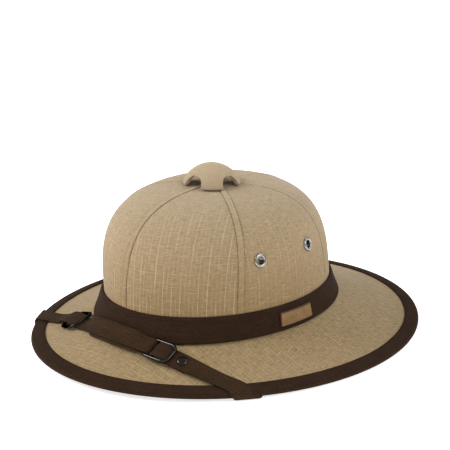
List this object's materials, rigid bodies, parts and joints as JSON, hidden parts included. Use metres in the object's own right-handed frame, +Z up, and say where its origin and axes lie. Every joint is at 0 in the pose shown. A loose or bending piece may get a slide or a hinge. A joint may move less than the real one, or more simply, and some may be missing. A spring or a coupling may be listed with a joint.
{
  "type": "pith helmet",
  "caption": "Pith helmet with a domed, seamed crown, a sloping oval brim, a hatband, a vent cap and a chin strap laid over the front of the brim.",
  "frame": {"origin": "middle of the hat's footprint, on the surface that it rests on", "axes": "+Z up; front of the hat towards -Y, so +Y is its back and +X the wearer's left"},
  "size_m": [0.292, 0.3377, 0.1413],
  "materials": {
    "sand_cloth": "matte slubbed linen over a stiff moulded shell",
    "brown_cloth": "matte dark brown cotton tape",
    "strap_cloth": "matte dark brown cotton, folded and stitched",
    "tan_leather": "smooth tan leather",
    "dark_metal": "polished gunmetal",
    "bright_metal": "polished nickel"
  },
  "bodies": {
    "root": {"crown": "sand_cloth", "brim": "sand_cloth", "brim_binding": "brown_cloth", "hatband": "brown_cloth", "label_patch": "tan_leather", "vent_cap": "sand_cloth", "vent_post": "dark_metal", "eyelet_left_front": "bright_metal", "eyelet_left_back": "bright_metal", "eyelet_right_front": "bright_metal", "eyelet_right_back": "bright_metal", "strap_long": "strap_cloth", "strap_short": "strap_cloth", "strap_slider": "dark_metal", "strap_ring": "dark_metal", "strap_rivet": "dark_metal", "strap_anchor_left": "dark_metal", "strap_anchor_right": "dark_metal"}
  },
  "joints": []
}
